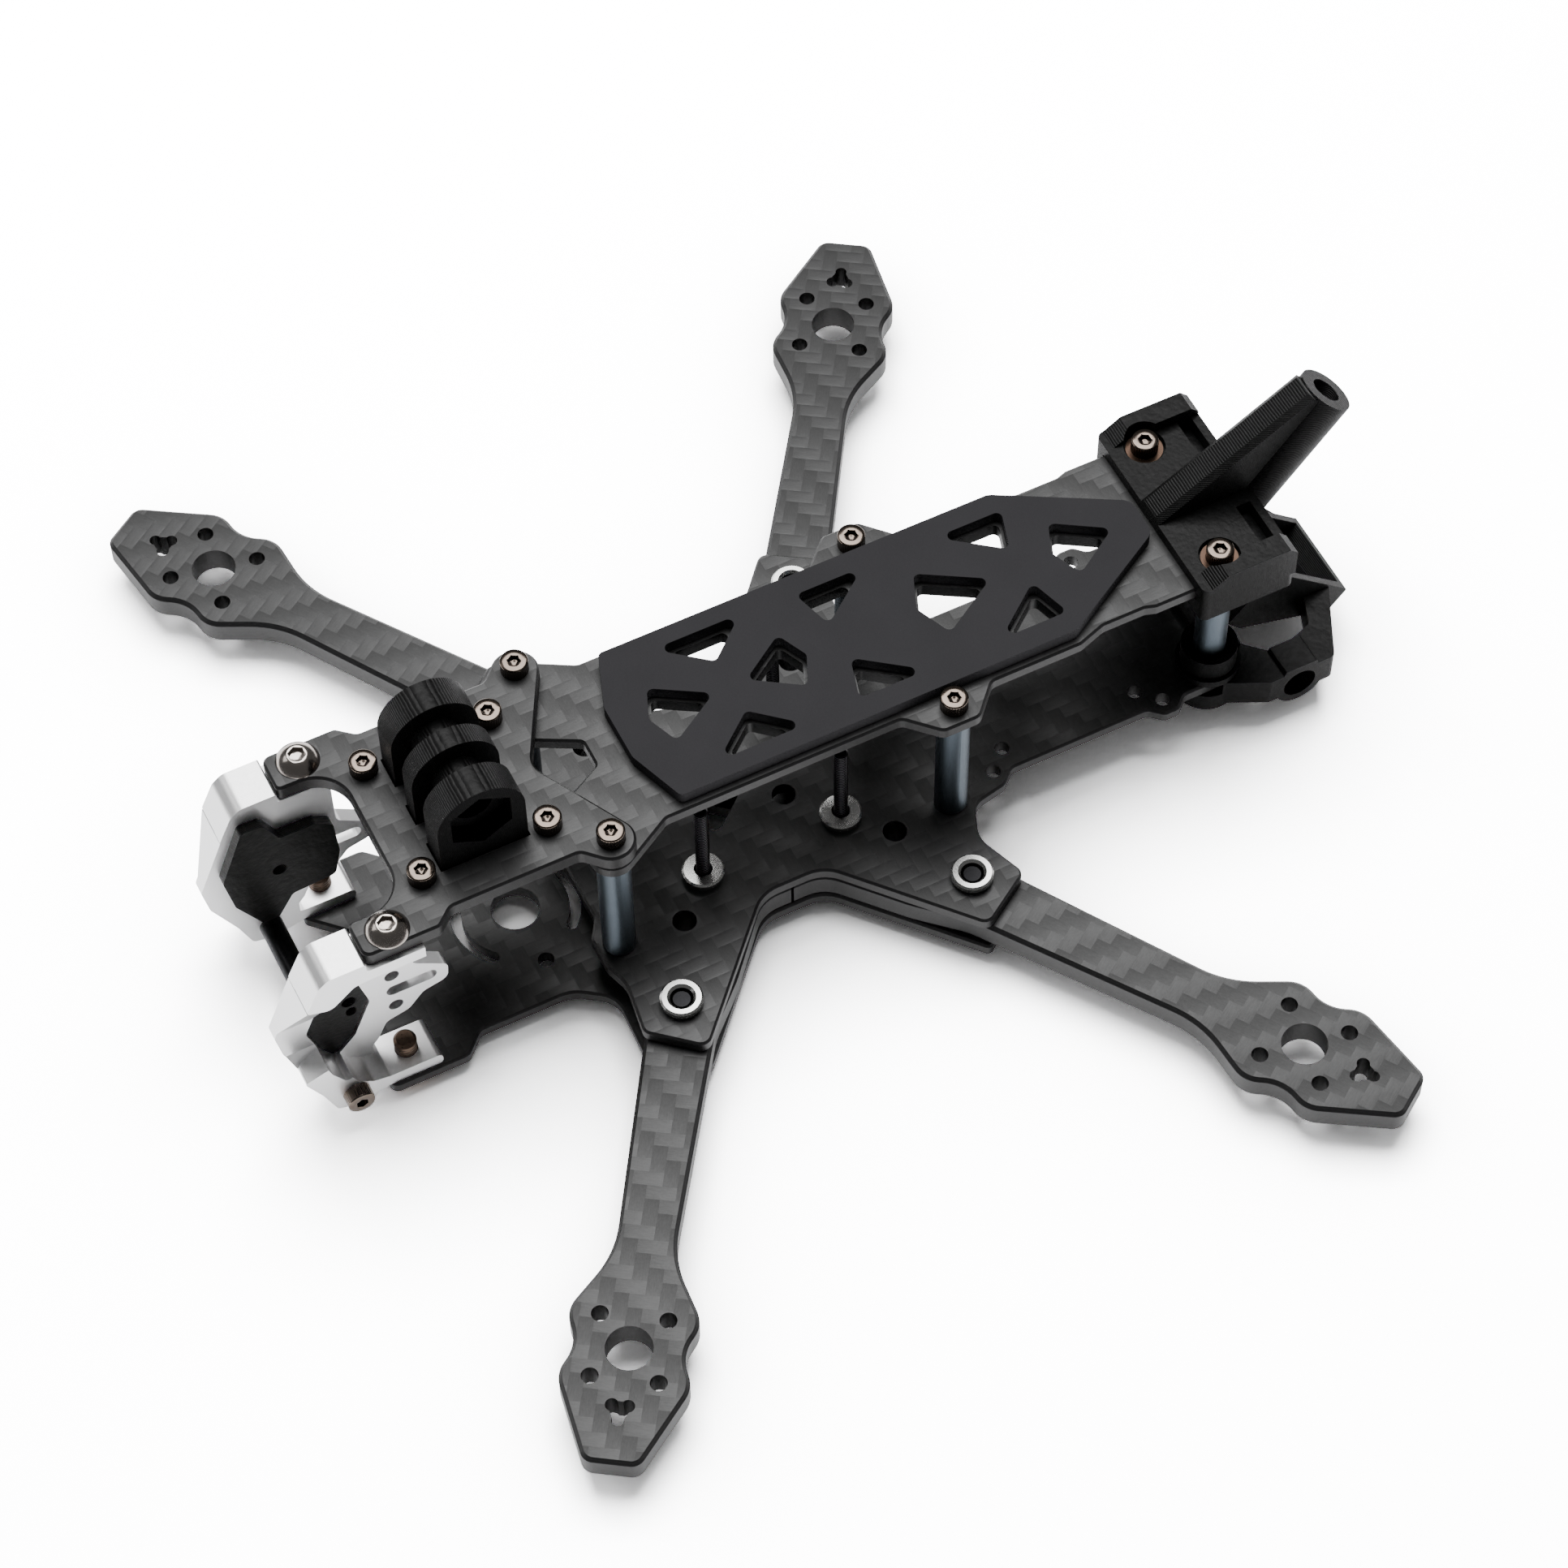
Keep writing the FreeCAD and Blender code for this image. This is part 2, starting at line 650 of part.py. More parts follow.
cage_foot = fitted([
    (-68.9, 2.4, 0.5), (-66.8, -2.0, 2.0), (-65.2, -6.5, 1.0), (-62.5, -7.3, 1.5), (-58.3, -6.2, 0),
    (-58.3, cage_drawn_floor, 0), (-50.5, cage_drawn_floor, 0.8), (-50.5, -4.0, 0.8), (-57.7, -4.0, 0.5),
    (-60.0, -3.5, 0.8), (-62.0, -2.0, 1.0), (-63.3, 1.0, 1.0), (-64.0, 4.0, 0.5),
])
cage_rim = fitted([
    (-66.9, 18.0, 0), (-70.6, 8.9, 1.5), (-69.9, 4.5, 2.0), (-66.8, -2.0, 0.5),
    (-63.4, 1.0, 0.5), (-66.6, 6.6, 1.0), (-63.9, 17.0, 0),
])
cage_window = fitted([
    (-58.9, 13.6, 1.0), (-57.7, 8.6, 1.5), (-60.3, 2.3, 1.0), (-63.3, -1.1, 0.6),
    (-65.1, 2.0, 1.0), (-66.6, 6.9, 1.5), (-63.0, 15.6, 1.2), (-60.2, 16.0, 1.0),
])
cage_web_outer = cage_inner_x + cage_web_thickness


def left_cage_plate():
    web = side_prism(cage_web, cage_inner_x, cage_web_outer)
    head = side_prism(cage_head, cage_inner_x, cage_outer_x)
    lower = side_prism(cage_foot, cage_inner_x, cage_outer_x)
    rim = side_prism(cage_rim, cage_inner_x, cage_outer_x)
    # seen from the front, the rim narrows to the web between head and foot
    taper = fitted(sharp([
        (cage_inner_x, 18.5), (cage_outer_x, 18.5), (cage_outer_x, 18.0), (cage_web_outer, 10.0),
        (cage_web_outer, 4.0), (cage_outer_x, -2.0), (cage_outer_x, -3.0), (cage_inner_x, -3.0),
    ]))
    envelope = prism(taper, 0, 30)
    envelope.Placement = FreeCAD.Placement(
        FreeCAD.Vector(0, -45, 0), FreeCAD.Rotation(FreeCAD.Vector(1, 0, 0), 90)
    )
    plate = fuse([web, head, lower, rim.common(envelope)])
    plate = plate.cut(side_prism(cage_window, cage_inner_x - 1, cage_outer_x + 1))
    slot = [(-55.4, 7.75, 0.99), (-55.4, 9.75, 0.99), (-48.5, 9.75, 0.99), (-48.5, 7.75, 0.99)]
    plate = plate.cut(side_prism(fitted(slot), cage_inner_x - 1, cage_web_outer + 1))
    for y, z, r in fitted([(-54.4, 12.1, 1.0), (-54.4, 5.25, 1.0)]):
        plate = plate.cut(cylinder(cage_inner_x - 1, y, z, r, cage_web_thickness + 2, (1, 0, 0)))
    plate = plate.cut(cylinder(cage_inner_x - 1, cross_bar_y, cross_bar_z, m2_hole_radius, 9, (1, 0, 0)))
    threaded = m3_shank_radius + thread_clearance
    plate = drill(plate, [(cage_screw_x, cage_screw_y)], threaded, deck_z - 4, 5)
    return drill(plate, [(cage_screw_x, cage_screw_y)], threaded, arm_z - 1, 4)


cage = left_cage_plate()
save("cage_plate_left", cage)
save("cage_plate_right", mirror_x(cage))

# -------------------------------------------------------- camera inserts

insert_flange = fitted([
    (-64.4, 20.5, 0.8), (-61.4, 20.4, 1.0), (-59.6, 16.4, 0.8), (-54.7, 16.3, 0.8),
    (-52.4, 14.6, 1.0), (-52.1, 8.5, 2.0), (-53.1, 3.7, 1.0), (-59.2, 3.2, 1.0),
    (-61.5, -0.7, 0.8), (-63.7, -0.8, 0.8), (-66.9, 5.2, 1.0), (-67.9, 11.3, 1.5),
])


def left_insert():
    plug_outline = inset([(y, z) for y, z, r in cage_window], insert_clearance)
    plug = [(y, z, r) for (y, z), (_, _, r) in zip(plug_outline, cage_window)]
    flange_x = cage_inner_x - insert_flange_thickness
    flange = side_prism(insert_flange, flange_x, cage_inner_x)
    insert = fuse([flange, side_prism(plug, cage_inner_x, cage_web_outer - 0.4)])
    y, z, r = fitted([(-60.3, 9.6, 1.0)])[0]
    insert = insert.cut(cylinder(flange_x - 1, y, z, r, 6, (1, 0, 0)))
    tilt_slot = [(-60.9, 6.4, 0.69), (-59.5, 6.4, 0.69), (-59.5, 8.2, 0.69), (-60.9, 8.2, 0.69)]
    return insert.cut(side_prism(fitted(tilt_slot), cage_web_outer - 1.6, cage_web_outer))


insert = left_insert()
save("camera_insert_left", insert)
save("camera_insert_right", mirror_x(insert))

# -------------------------------------------------------------- cross bar

bar = cylinder(-cage_inner_x, cross_bar_y, cross_bar_z, cross_bar_radius, 2 * cage_inner_x, (1, 0, 0))
bar = bar.cut(cylinder(-20, cross_bar_y, cross_bar_z, m2_shank_radius + thread_clearance, 40, (1, 0, 0)))
save("cage_cross_bar", bar)
bar_screw = socket_screw(10.0)
bar_screws = []
for name, side in side_names:
    bar_screws.append(placed(bar_screw, cage_outer_x * side, cross_bar_y, cross_bar_z, (side, 0, 0)))
save("cross_bar_screws", Part.makeCompound(bar_screws))

# -------------------------------------------------------------- standoffs


def standoff(x, y):
    post = cylinder(x, y, 0, standoff_radius, standoff_length)
    post = chamfer_faces(post, 0.25, [0, standoff_length])
    return drill(post, [(x, y)], m2_shank_radius + thread_clearance, -1, standoff_length + 2)


for row_name, places in [("front", front_standoffs), ("mid", mid_standoffs), ("rear", rear_standoffs)]:
    for (side_name, side), (x, y) in zip(side_names, places):
        save("standoff_" + row_name + "_" + side_name, standoff(x, y))

washer_floor_z = deck_z + 0.8
washer_top_z = washer_floor_z + washer_thickness
save("front_standoff_screws", group(socket_screw(10.0), front_standoffs, front_deck_z))
save("mid_standoff_screws", group(socket_screw(8.0), mid_standoffs, deck_z))
save("rear_standoff_screws", group(socket_screw(10.0), rear_standoffs, washer_top_z))
save("standoff_bottom_screws", group(socket_screw(7.0), all_standoffs, mid_z, down))
washer = cylinder(0, 0, 0, washer_radius, washer_thickness).cut(cylinder(0, 0, -1, m2_hole_radius, 3))
save("rear_washers", group(washer, rear_standoffs, washer_floor_z))

# ------------------------------------------------------- other fasteners

m2_nut_height = 1.6
m2_nut = hexagon(4.0, 0, m2_nut_height).cut(cylinder(0, 0, -1, m2_shank_radius + thread_clearance, 4))
mount_screw_length = front_plate_thickness + camera_mount_flange_thickness + m2_nut_height + 0.4
save("action_camera_mount_screws", group(socket_screw(mount_screw_length), camera_mount_places, front_deck_z))
save("action_camera_mount_nuts", group(m2_nut, camera_mount_places, flange_z - m2_nut_height))
save("cage_top_screws", group(button_screw(5.5), cage_screw_places, front_deck_z))
save("cage_foot_screws", group(button_screw(6.4), cage_screw_places, bottom_z, down))


def round_nut(bore_radius, countersink):
    """Round flanged nut: a narrow foot on the plate under a wider bright rim."""
    foot = cylinder(0, 0, 0, round_nut_foot_radius, round_nut_foot_height)
    rim = cylinder(0, 0, round_nut_foot_height, round_nut_radius, round_nut_height - round_nut_foot_height)
    rim = chamfer_faces(rim, 0.25, [round_nut_foot_height, round_nut_height])
    nut = fuse([foot, rim]).cut(cylinder(0, 0, -1, bore_radius, round_nut_height + 2))
    mouth = FreeCAD.Vector(0, 0, round_nut_height - countersink)
    return nut.cut(Part.makeCone(bore_radius, bore_radius + countersink, countersink, mouth))


def stack_screw():
    """Long M2 screw: its shank ends just above the nut and its slimmer threaded end stands up as a stud."""
    length = clamp_height + stack_stud_height
    stud = cylinder(0, 0, -length, stack_stud_radius, length)
    stud = chamfer_faces(stud, 0.2, [-length])
    return fuse([socket_screw(clamp_height + round_nut_height + 0.1), stud])


clamp_height = bottom_plate_thickness + arm_thickness + mid_plate_thickness
save("arm_nuts", group(round_nut(m3_shank_radius + thread_clearance, 0.35), arm_bolt_places, 0))
save("arm_bolts", group(button_screw(clamp_height + 0.9), arm_bolt_places, bottom_z, down))
save("stack_nuts", group(round_nut(m2_shank_radius + thread_clearance, 0.2), stack_places, 0))
save("stack_screws", group(stack_screw(), stack_places, bottom_z, down))

# ---------------------------------------------------------- antenna mount

slope_y = antenna_end_y - antenna_base_y
slope_z = antenna_end_z - deck_z
slope_length = math.hypot(slope_y, slope_z)
slope = (0, slope_y / slope_length, slope_z / slope_length)
pad_top_z = deck_z + antenna_mount_pad_height
rail_top_z = deck_z + antenna_mount_rail_height
skirt_z = top_z - 2.5
rail_inner_x = 11.5


def rear_antenna_mount():
    body = prism(mirrored([
        (antenna_mount_half_width, antenna_mount_front_y, 1.0),
        (antenna_mount_half_width, antenna_mount_rear_y, 1.0),
    ]), skirt_z, pad_top_z - skirt_z)
    rails = []
    for start in (rail_inner_x, -antenna_mount_half_width):
        rail = sharp([
            (antenna_mount_front_y + 1.0, top_z), (antenna_mount_front_y + 1.0, pad_top_z),
            (antenna_mount_front_y + 3.6, rail_top_z), (antenna_mount_rear_y - 1.2, rail_top_z),
            (antenna_mount_rear_y, rail_top_z - 1.2), (antenna_mount_rear_y, top_z),
        ])
        rails.append(side_prism(rail, start, start + antenna_mount_half_width - rail_inner_x))
    tail = 5.0
    tube = cylinder(0, antenna_base_y - slope[1] * tail, deck_z - slope[2] * tail,
                    antenna_tube_radius, slope_length + tail, slope)
    ridge = side_prism(sharp([
        (antenna_mount_front_y, pad_top_z - 1), (antenna_mount_front_y, pad_top_z + 0.9),
        (81.8, deck_z + 16.1), (83.0, deck_z + 14.5), (antenna_base_y, pad_top_z - 1),
    ]), -2.3, 2.3)
    long_edges = []
    for edge in ridge.Edges:
        box = edge.BoundBox
        if box.YLength > 20 and box.ZLength > 10:
            long_edges.append(edge)
    ridge = ridge.makeChamfer(0.8, long_edges)
    mount = fuse([body, tube, ridge] + rails)
    # pockets behind the screw pads, and the slot for the top plate
    for side in (1, -1):
        inner = 4.2 * side
        outer = rail_inner_x * side
        pocket = sharp([(inner, 70.7), (outer, 70.7), (outer, 72.8), (inner, 72.8)])
        mount = mount.cut(prism(pocket, deck_z - 0.5, 5))
    reach = top_plate_rear_half_width + soft_fit
    mount = mount.cut(block(-reach, reach, antenna_mount_front_y - 1, top_plate_end_y + soft_fit, top_z, deck_z))
    # open underneath between the two standoffs
    mount = mount.cut(block(-6.0, 6.0, antenna_mount_front_y - 1, 71.5, skirt_z - 1, top_z))
    mount = drill(mount, rear_standoffs, standoff_radius + soft_fit, skirt_z - 1, top_z - skirt_z + 1)
    mount = drill(mount, rear_standoffs, m2_hole_radius, top_z, 6)
    mount = drill(mount, rear_standoffs, washer_radius + 0.3, washer_floor_z, 6)
    bore = cylinder(0, antenna_base_y - slope[1] * 9, deck_z - slope[2] * 9,
                    antenna_bore_radius, slope_length + 20, slope)
    return mount.cut(bore)


save("rear_antenna_mount", rear_antenna_mount())

# ------------------------------------------------------- lower rear mount


def rear_lower_mount():
    collar_radius = 3.8
    ring_radius = 4.4
    ring_bore = standoff_radius + 0.8
    underside_z = mid_z - 3.0
    ring_floor_z = 1.2
    ring_top_z = 4.5
    pieces = []
    for x, y in rear_standoffs:
        pieces.append(cylinder(x, y, underside_z, collar_radius, ring_top_z - underside_z))
        pieces.append(cylinder(x, y, underside_z, ring_radius, ring_floor_z - underside_z))
    pieces.append(block(-rear_standoff_x, rear_standoff_x, 65.5, 70.0, underside_z, ring_floor_z))
    # tray: a box hung from a rim that slopes down to the rear, (y, z)
    tray = [(70.0, 1.2), (74.6, 6.4), (76.7, 8.5), (88.9, -2.4), (86.3, -5.6), (82.4, -4.4), (72.0, -1.0)]
    pieces.append(side_prism([(y, z, 0.4) for y, z in tray], -tray_half_width, tray_half_width))
    for side in (1, -1):
        outline = [
            (12.6, 61.8, 1.0), (side_boss_outer_x, 70.9, 1.0), (side_boss_outer_x, 80.6, 1.0),
            (tray_half_width - 1, 86.2, 0.5), (tray_half_width - 1, 82.2, 0.5), (10.9, 80.2, 0.5),
            (12.9, 73.8, 0.5), (9.8, 70.6, 0.5), (7.0, 68.6, 0.5),
        ]
        pieces.append(prism([(x * side, y, r) for x, y, r in outline], side_boss_z - 1.6, 4.6))
        inner_x = 12.4
        start = inner_x if side > 0 else -side_boss_outer_x
        pieces.append(cylinder(start, side_boss_y, side_boss_z, side_boss_radius,
                               side_boss_outer_x - inner_x, (1, 0, 0)))
        # flat cap over the boss
        cap_z = side_boss_z + side_boss_radius + 0.2
        cap = [(side_boss_y - 3.4, side_boss_z, 0), (side_boss_y + 3.4, side_boss_z, 0),
               (side_boss_y + 2.4, cap_z, 0.4), (side_boss_y - 2.4, cap_z, 0.4)]
        pieces.append(side_prism(cap, start, start + side_boss_outer_x - inner_x))
    mount = fuse(pieces)
    rim_y, rim_z = 76.7, 8.5
    rim_length = math.hypot(88.9 - rim_y, -2.4 - rim_z)
    along_y = (88.9 - rim_y) / rim_length
    along_z = (-2.4 - rim_z) / rim_length

    def tray_point(along, depth):
        return (rim_y + along_y * along + along_z * depth, rim_z + along_z * along - along_y * depth)

    hollow = [tray_point(0.9, -3), tray_point(rim_length - 1.2, -3), tray_point(rim_length - 1.2, 3.2),
              tray_point(0.9, 4.8)]
    mount = mount.cut(side_prism(sharp(hollow), tray_wall - tray_half_width, tray_half_width - tray_wall))
    # slot for the end of the mid plate
    reach = mid_rear_ear_radius + soft_fit
    slot_z = mid_z - soft_fit / 2
    slot_height = mid_plate_thickness + soft_fit
    cutters = [cylinder(x, y, slot_z, reach, slot_height) for x, y in rear_standoffs]
    cutters.append(block(-rear_standoff_x, rear_standoff_x, 55, rear_standoff_y + reach, slot_z, slot_z + slot_height))
    cutters.append(block(-15.2, 15.2, 55, rear_standoff_y, slot_z, slot_z + slot_height))
    mount = mount.cut(fuse(cutters))
    mount = drill(mount, rear_standoffs, ring_bore, 0, 6)
    mount = drill(mount, rear_standoffs, m2_head_radius + 0.4, underside_z - 1, mid_z - underside_z + 1)
    side_bore = cylinder(-20, side_boss_y, side_boss_z, side_bore_radius, 40, (1, 0, 0))
    keep = block(-9, 9, 70, 82, -12, 10)
    return mount.cut(side_bore.cut(keep))


save("rear_lower_mount", rear_lower_mount())
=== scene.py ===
import math

import bpy
import numpy as np
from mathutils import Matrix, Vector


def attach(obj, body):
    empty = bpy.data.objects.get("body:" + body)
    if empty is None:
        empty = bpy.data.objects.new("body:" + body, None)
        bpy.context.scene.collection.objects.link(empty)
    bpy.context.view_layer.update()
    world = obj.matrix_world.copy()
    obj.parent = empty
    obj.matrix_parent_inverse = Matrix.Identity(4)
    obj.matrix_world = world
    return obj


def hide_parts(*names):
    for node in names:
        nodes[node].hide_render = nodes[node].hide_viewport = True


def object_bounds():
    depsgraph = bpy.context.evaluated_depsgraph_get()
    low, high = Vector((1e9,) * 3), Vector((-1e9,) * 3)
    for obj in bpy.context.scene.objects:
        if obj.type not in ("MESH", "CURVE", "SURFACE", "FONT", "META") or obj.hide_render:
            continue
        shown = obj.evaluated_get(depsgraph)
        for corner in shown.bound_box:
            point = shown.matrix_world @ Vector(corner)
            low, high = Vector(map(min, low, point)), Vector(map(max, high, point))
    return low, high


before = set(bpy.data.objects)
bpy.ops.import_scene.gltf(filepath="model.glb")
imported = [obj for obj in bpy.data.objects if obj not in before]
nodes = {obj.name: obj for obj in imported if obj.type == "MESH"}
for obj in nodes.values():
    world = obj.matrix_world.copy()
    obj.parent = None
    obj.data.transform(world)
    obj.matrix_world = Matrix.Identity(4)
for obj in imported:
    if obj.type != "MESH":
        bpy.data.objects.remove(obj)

cad_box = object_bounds()

# ---------------------------------------------------------------------------
# The four arms.  Each is cut from 4 mm laminate of 2x2 twill carbon cloth whose
# warp runs along the arm.  The router leaves bare dark edges and a small bevel;
# the moulded faces are satin resin over the tows.
# ---------------------------------------------------------------------------

mm = 0.001


class Shading:
    """Short hand for wiring one node tree, of a material or of a group."""

    def __init__(self, tree):
        self.tree = tree

    def add(self, kind, settings=None, **sockets):
        """New node; settings are its properties, sockets its inputs by name or #number."""
        node = self.tree.nodes.new(kind)
        for key, value in (settings or {}).items():
            setattr(node, key, value)
        for key, value in sockets.items():
            numbered = key[0] == "i" and key[1:].isdigit()
            socket = int(key[1:]) if numbered else key.replace("_", " ")
            self.give(node.inputs[socket], value)
        return node

    def give(self, socket, value):
        """Links a socket or a node's first output to an input, or sets a plain value."""
        if isinstance(value, bpy.types.NodeSocket):
            self.tree.links.new(value, socket)
        elif isinstance(value, bpy.types.Node):
            self.tree.links.new(value.outputs[0], socket)
        else:
            socket.default_value = value

    def math(self, operation, a, b=0.0, c=0.0):
        return self.add("ShaderNodeMath", {"operation": operation}, i0=a, i1=b, i2=c).outputs[0]

    def mix(self, factor, a, b):
        """Blend of two numbers."""
        node = self.add("ShaderNodeMix", {"data_type": "FLOAT"}, i0=factor, i2=a, i3=b)
        return node.outputs[0]

    def tint(self, factor, a, b):
        """Blend of two colours."""
        node = self.add("ShaderNodeMix", {"data_type": "RGBA"}, i0=factor, i6=a, i7=b)
        return node.outputs[2]

    def ramp(self, value, low, high):
        """Smooth step from 0 at low to 1 at high."""
        node = self.add("ShaderNodeMapRange", {"interpolation_type": "SMOOTHSTEP"},
                        i0=value, i1=low, i2=high)
        return node.outputs[0]


def new_group(name, inputs, outputs):
    """Empty node group with named sockets: its tree, its input node and its output node."""
    tree = bpy.data.node_groups.new(name, "ShaderNodeTree")
    for label, kind in inputs:
        tree.interface.new_socket(label, in_out="INPUT", socket_type=kind)
    for label, kind in outputs:
        tree.interface.new_socket(label, in_out="OUTPUT", socket_type=kind)
    return tree, tree.nodes.new("NodeGroupInput"), tree.nodes.new("NodeGroupOutput")


def twill_group():
    """Woven 2x2 twill.

    In the tow grid's cell (i, j) the warp lies on top where (i - j) mod 4 is 0 or 1.  Along is how
    far along its visible float a point is, and Height is the tow's rounded crown.
    """
    tree, given, out = new_group(
        "twill weave",
        [("Place", "NodeSocketVector"), ("Tow Width", "NodeSocketFloat")],
        [("Warp", "NodeSocketFloat"), ("Along", "NodeSocketFloat"),
         ("Height", "NodeSocketFloat"), ("Fibres", "NodeSocketFloat")],
    )
    s = Shading(tree)
    apart = s.add("ShaderNodeSeparateXYZ", i0=given.outputs["Place"])
    u = s.math("DIVIDE", apart.outputs[0], given.outputs["Tow Width"])
    v = s.math("DIVIDE", apart.outputs[1], given.outputs["Tow Width"])
    across_u, across_v = s.math("FRACT", u), s.math("FRACT", v)
    diagonal = s.math("SUBTRACT", s.math("FLOOR", u), s.math("FLOOR", v))
    step = s.math("ROUND", s.math("FLOORED_MODULO", diagonal, 4.0))
    warp = s.math("LESS_THAN", step, 1.5)
    warp_along = s.math("MULTIPLY", s.math("ADD", s.math("SUBTRACT", 1.0, step), across_v), 0.5)
    weft_along = s.math("MULTIPLY", s.math("ADD", s.math("SUBTRACT", step, 2.0), across_u), 0.5)
    along = s.mix(warp, weft_along, warp_along)
    across = s.mix(warp, across_v, across_u)

    def crown(value, power):
        off_centre = s.math("ABSOLUTE", s.math("MULTIPLY_ADD", value, 2.0, -1.0))
        return s.math("SUBTRACT", 1.0, s.math("POWER", off_centre, power))

    height = s.math("MULTIPLY", crown(across, 3.0), crown(along, 4.0))
    # streaks of single fibres, drawn out along whichever tow is on top
    fine, slow = 28.0, 1.5
    streak_u = s.math("MULTIPLY", u, s.mix(warp, slow, fine))
    streak_v = s.math("MULTIPLY", v, s.mix(warp, fine, slow))
    layer = s.math("MULTIPLY", warp, 7.3)
    streaks = s.add("ShaderNodeCombineXYZ", i0=streak_u, i1=streak_v, i2=layer)
    fibres = s.add("ShaderNodeTexNoise", i0=streaks, Scale=1.0, Detail=2.0)
    for label, value in (("Warp", warp), ("Along", along), ("Height", height), ("Fibres", fibres)):
        s.give(out.inputs[label], value)
    return tree


twill = twill_group()


def carbon(name, turn, tow_width=1.9 * mm, dark=0.0025, light=0.024):
    """Satin carbon laminate, its cloth turned about Z.  Faces show the twill with painted sheen and
    shade, edges the plies.
    """
    material = bpy.data.materials.new(name)
    material.use_nodes = True
    s = Shading(material.node_tree)
    shader = material.node_tree.nodes["Principled BSDF"]
    place = s.add("ShaderNodeTexCoord").outputs["Object"]
    mapping = s.add("ShaderNodeMapping", i0=place)
    mapping.inputs["Rotation"].default_value = (0, 0, -turn)
    weave = s.add("ShaderNodeGroup", {"node_tree": twill}, Place=mapping, Tow_Width=tow_width)
    facing = s.add("ShaderNodeSeparateXYZ", i0=s.add("ShaderNodeNewGeometry").outputs["Normal"])
    flat = s.ramp(s.math("ABSOLUTE", facing.outputs[2]), 0.90, 0.97)
    apart = s.add("ShaderNodeSeparateXYZ", i0=place)

    # painted sheen: warp and weft are coloured lighter and darker for how each tow direction catches the
    # light, and painted shade darkens each float towards one end of its length
    painted_sheen_and_tone = s.mix(weave.outputs["Warp"], 0.28, 0.68)
    painted_sheen_and_tone = s.math("ADD", painted_sheen_and_tone, s.math("MULTIPLY_ADD", weave.outputs["Along"], 0.4, -0.2))
    painted_sheen_and_tone = s.math("ADD", painted_sheen_and_tone, s.math("MULTIPLY_ADD", weave.outputs["Fibres"], 0.7, -0.35))
    cloud = s.add("ShaderNodeTexNoise", i0=place, Scale=90.0, Detail=3.0)
    painted_sheen_and_tone = s.math("ADD", painted_sheen_and_tone, s.math("MULTIPLY_ADD", cloud.outputs[0], 0.5, -0.25))
    # face colour: painted sheen and shade of the tows, plus fibre streaks and a cloud that vary at
    # random
    face = s.tint(painted_sheen_and_tone, (dark, dark, dark * 1.02, 1), (light, light, light * 1.03, 1))
    ply = 0.25 * mm
    plies = s.math("SINE", s.math("MULTIPLY", apart.outputs[2], 2 * math.pi / ply))
    edge = s.tint(s.math("MULTIPLY_ADD", plies, 0.5, 0.5),
                  (0.003, 0.003, 0.0032, 1), (0.007, 0.007, 0.0073, 1))
    s.give(shader.inputs["Base Color"], s.tint(flat, edge, face))

    grit = s.add("ShaderNodeTexNoise", i0=place, Scale=4200.0, Detail=2.0)
    sheen = s.mix(s.ramp(painted_sheen_and_tone, 0.0, 1.0), 0.45, 0.32)
    rough = s.math("MULTIPLY_ADD", grit.outputs[0], 0.10, s.mix(flat, 0.40, sheen))
    s.give(shader.inputs["Roughness"], rough)
    relief = s.math("MULTIPLY", weave.outputs["Height"], flat)
    relief = s.math("ADD", relief, s.math("MULTIPLY", grit.outputs[0], 0.25))
    relief = s.math("ADD", relief, s.math("MULTIPLY", plies, s.mix(flat, 0.12, 0.0)))
    bump = s.add("ShaderNodeBump", Strength=0.55, Distance=0.035 * mm, Height=relief)
    s.give(shader.inputs["Normal"], bump)
    shader.inputs["Specular IOR Level"].default_value = 0.48
    return material


def clothe(node_name, material):
    """Gives a CAD node its only material."""
    mesh = nodes[node_name].data
    mesh.materials.clear()
    mesh.materials.append(material)


arm_angle = math.radians(33.66)
along_left = carbon("carbon arm, tail left and nose right", arm_angle)
along_right = carbon("carbon arm, nose left and tail right", -arm_angle)
clothe("arm_rear_left", along_left)
clothe("arm_front_right", along_left)
clothe("arm_front_left", along_right)
clothe("arm_rear_right", along_right)

# ---------------------------------------------------------------------------
# The flat plates.  Bottom, mid, top and front plates are routed from thinner sheets
# of the same cloth, its warp along the nose-tail line, and bolted up in a stack.
# ---------------------------------------------------------------------------

plate_carbon = carbon("carbon plate", 0.0)
for plate in ("bottom_plate", "mid_plate", "top_plate", "front_top_plate"):
    clothe(plate, plate_carbon)

# ---------------------------------------------------------------------------
# Battery pad.  A die-cut sheet of fine-grained black rubber, glued to the deck so
# that a strapped battery can't slide.  It is dead matt with a slight bloom.
# ---------------------------------------------------------------------------


def grain_group():
    """Moulded grain: two octaves of noise as a height, and a slow cloud for the colour."""
    tree, given, out = new_group(
        "fine grain",
        [("Place", "NodeSocketVector"), ("Grain Size", "NodeSocketFloat")],
        [("Height", "NodeSocketFloat"), ("Cloud", "NodeSocketFloat")],
    )
    s = Shading(tree)
    scale = s.math("DIVIDE", 1.0, given.outputs["Grain Size"])
    fine = s.add("ShaderNodeTexNoise", i0=given.outputs["Place"], Scale=scale, Detail=3.0)
    cloud = s.add("ShaderNodeTexNoise", i0=given.outputs["Place"], Scale=140.0, Detail=4.0)
    s.give(out.inputs["Height"], fine)
    s.give(out.inputs["Cloud"], cloud)
    return tree


grain = grain_group()


